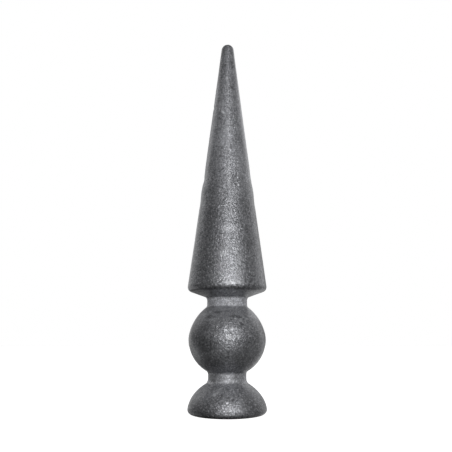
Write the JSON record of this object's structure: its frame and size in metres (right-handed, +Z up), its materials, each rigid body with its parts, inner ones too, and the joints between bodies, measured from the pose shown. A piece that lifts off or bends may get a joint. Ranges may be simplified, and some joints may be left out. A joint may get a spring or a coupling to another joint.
{
  "type": "fence finial",
  "caption": "Forged steel fence finial: a long round spike with a blunt tip over a ball between short necks, on a domed round foot with a flat underside.",
  "frame": {"origin": "centre of the foot's flat underside, where the finial meets the post or bar", "axes": "+Z up along the spike; the shape is turned about Z, and -Y is the side that the picture shows"},
  "size_m": [0.031, 0.031, 0.15],
  "materials": {
    "steel": "bare forged steel, unpainted, dark grey, half dull, finely pitted"
  },
  "bodies": {
    "root": {"finial": "steel"}
  },
  "joints": []
}
